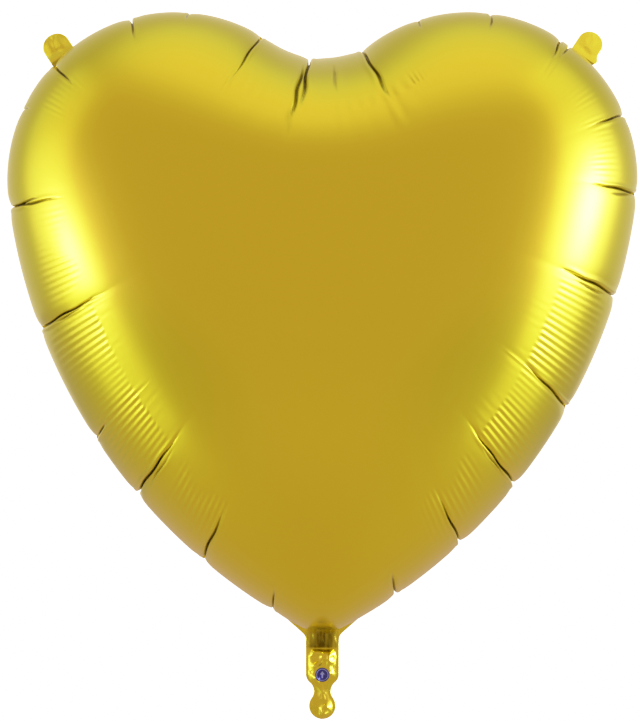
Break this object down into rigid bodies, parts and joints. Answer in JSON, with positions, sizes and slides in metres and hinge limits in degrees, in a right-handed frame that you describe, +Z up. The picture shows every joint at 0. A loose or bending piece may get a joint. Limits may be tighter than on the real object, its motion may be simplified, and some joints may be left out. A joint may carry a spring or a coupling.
{
  "type": "heart-shaped foil balloon",
  "caption": "Inflated heart-shaped foil balloon with a welded rim, a folding neck with a narrow tie waist, and folding hanging tabs on its shoulders.",
  "frame": {"origin": "middle of the narrow waist of the neck, where a ribbon is tied, in the plane of the welded rim", "axes": "+Z up from the neck to the heart, the front faces -Y, +X to the right when seen from the front"},
  "size_m": [0.617, 0.33, 0.6922],
  "materials": {
    "gold_foil": "satin",
    "valve_film": "gloss",
    "release_print": "matte",
    "badge_ink": "gloss"
  },
  "bodies": {
    "heart": {"front_panel": "gold_foil", "rear_panel": "gold_foil", "heart_valve_front_film": "valve_film", "heart_valve_rear_film": "valve_film", "valve_release_print": "release_print"},
    "neck": {"neck_front_ply": "gold_foil", "neck_rear_ply": "gold_foil", "neck_valve_front_film": "valve_film", "neck_valve_rear_film": "valve_film", "neck_badge": "badge_ink"},
    "tail_end": {"tail_end_front_ply": "gold_foil", "tail_end_rear_ply": "gold_foil"},
    "left_tab": {"left_tab_front_ply": "gold_foil", "left_tab_rear_ply": "gold_foil"},
    "right_tab": {"right_tab_front_ply": "gold_foil", "right_tab_rear_ply": "gold_foil"}
  },
  "joints": [
    {"name": "neck_fold", "type": "hinge", "parent": "heart", "child": "neck", "pos_m": [0, 0, 0.042], "axis": [1, 0, 0], "range_deg": [-90, 90], "stiffness_Nm_per_rad": 0.0005},
    {"name": "tail_end_fold", "type": "hinge", "parent": "neck", "child": "tail_end", "pos_m": [0, 0, 0], "axis": [1, 0, 0], "range_deg": [-80, 80], "stiffness_Nm_per_rad": 0.0001},
    {"name": "left_tab_fold", "type": "hinge", "parent": "heart", "child": "left_tab", "pos_m": [-0.25658, 0, 0.62559], "axis": [0.829, 0, 0.5592], "range_deg": [-55, 90], "stiffness_Nm_per_rad": 0.0002},
    {"name": "right_tab_fold", "type": "hinge", "parent": "heart", "child": "right_tab", "pos_m": [0.25658, 0, 0.62559], "axis": [0.829, 0, -0.5592], "range_deg": [-55, 90], "stiffness_Nm_per_rad": 0.0002}
  ]
}
